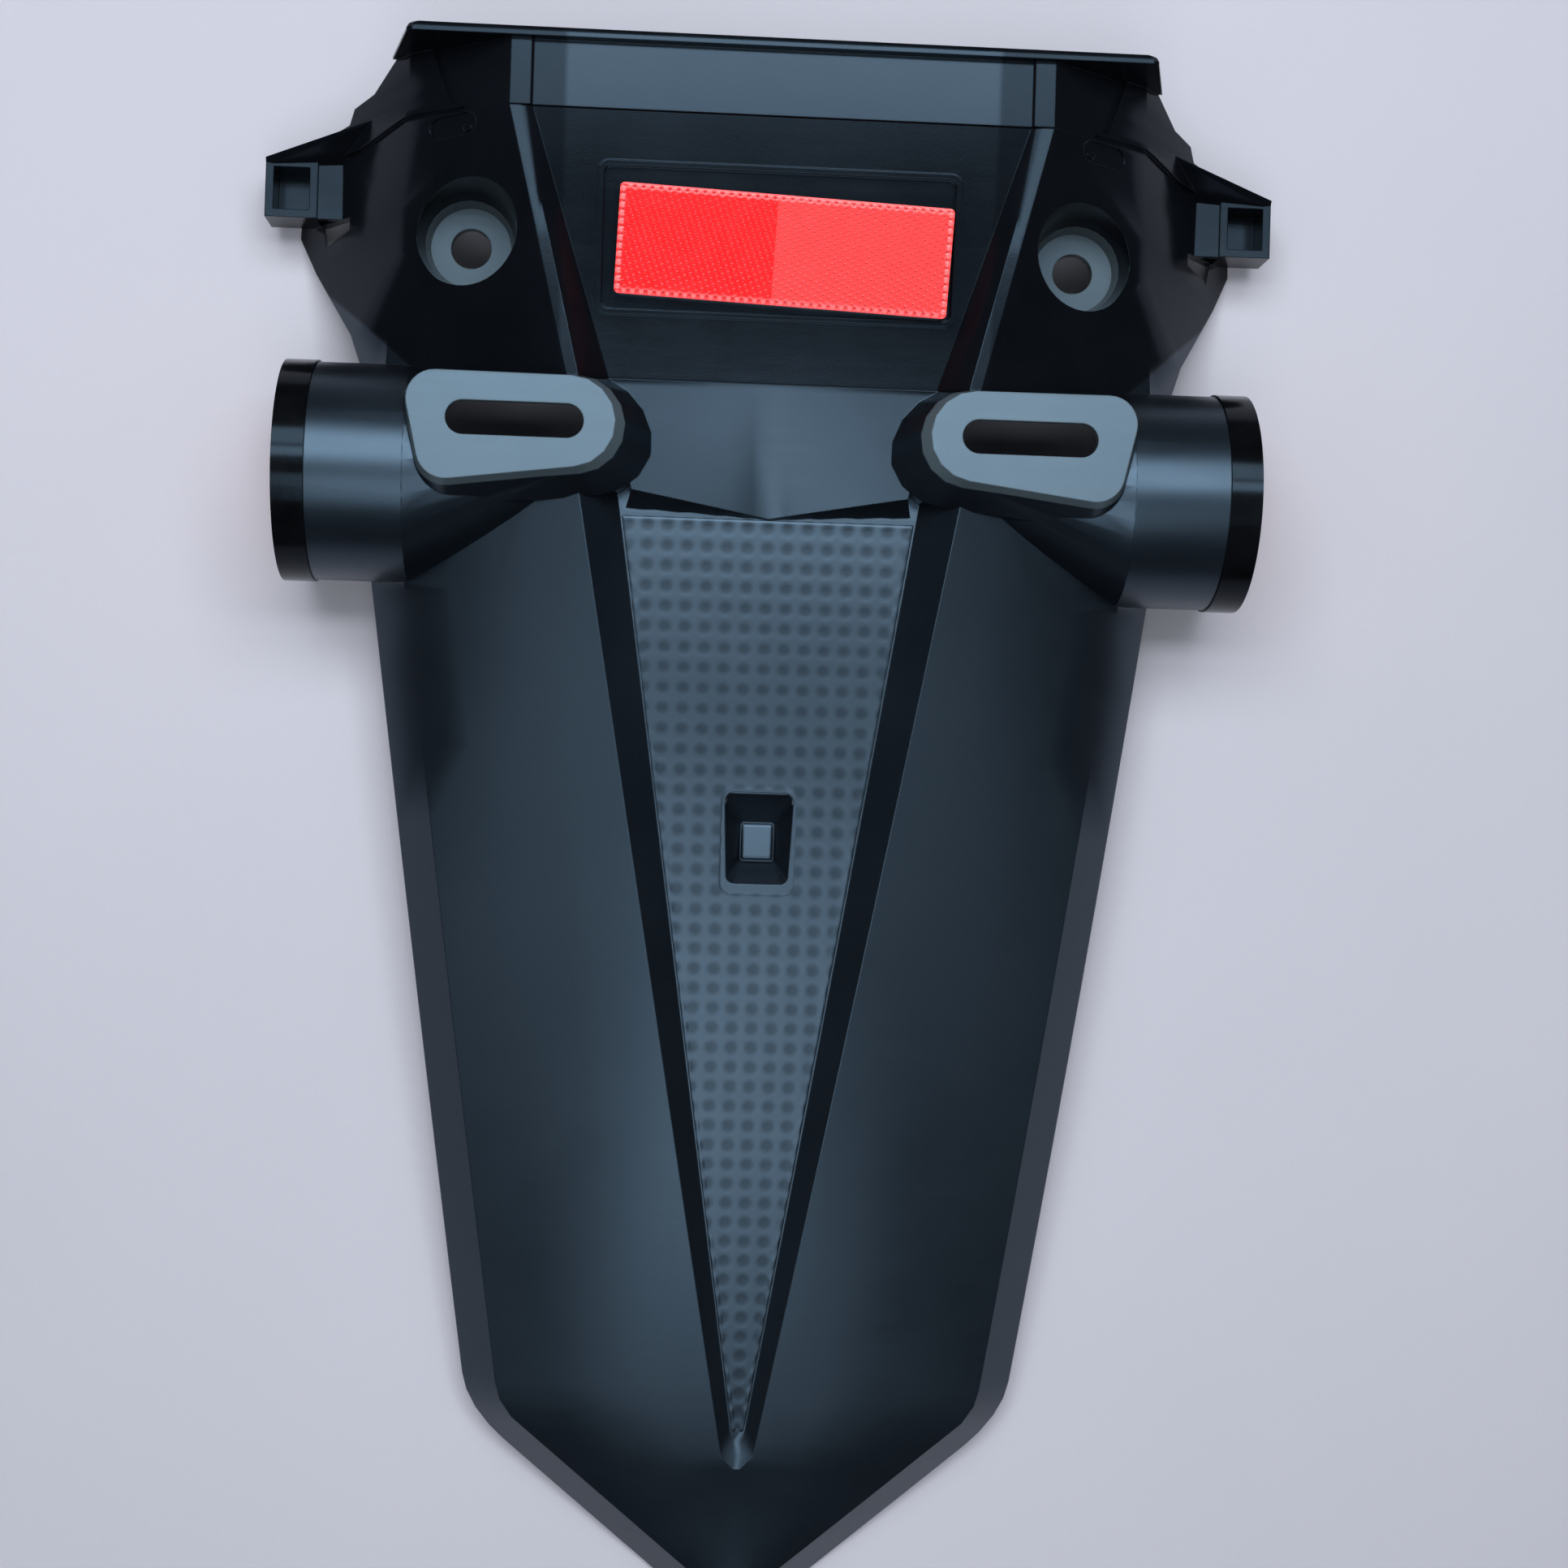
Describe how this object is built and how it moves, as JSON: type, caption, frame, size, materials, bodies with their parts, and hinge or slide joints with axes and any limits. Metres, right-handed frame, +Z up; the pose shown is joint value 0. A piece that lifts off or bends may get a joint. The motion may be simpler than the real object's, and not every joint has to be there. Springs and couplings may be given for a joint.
{
  "type": "motorcycle rear fender",
  "caption": "Moulded rear fender with a bracket for the plate, a long pointed splash flap, a red rear reflector and round amber side reflectors on side pods.",
  "frame": {"origin": "on the ground under the middle of the part, 168.25 mm towards the flap from the line of the two mounting holes", "axes": "+Z up, out of the outer face; +Y from the flap tip to the seat end; +X to the right in the picture"},
  "size_m": [0.2828, 0.4376, 0.0682],
  "materials": {
    "shell": "satin moulded",
    "red_lens": "prismatic",
    "amber_lens": "prismatic",
    "housing": "gloss",
    "backing": "plain",
    "fixing": "zinc plated"
  },
  "bodies": {
    "root": {"fender": "shell", "rear_lens": "red_lens", "rear_backing": "backing", "rear_stud": "fixing", "rear_washer": "fixing", "rear_nut": "fixing", "left_lens": "amber_lens", "left_housing": "housing", "left_stud": "fixing", "left_washer": "fixing", "left_nut": "fixing", "right_lens": "amber_lens", "right_housing": "housing", "right_stud": "fixing", "right_washer": "fixing", "right_nut": "fixing"}
  },
  "joints": []
}
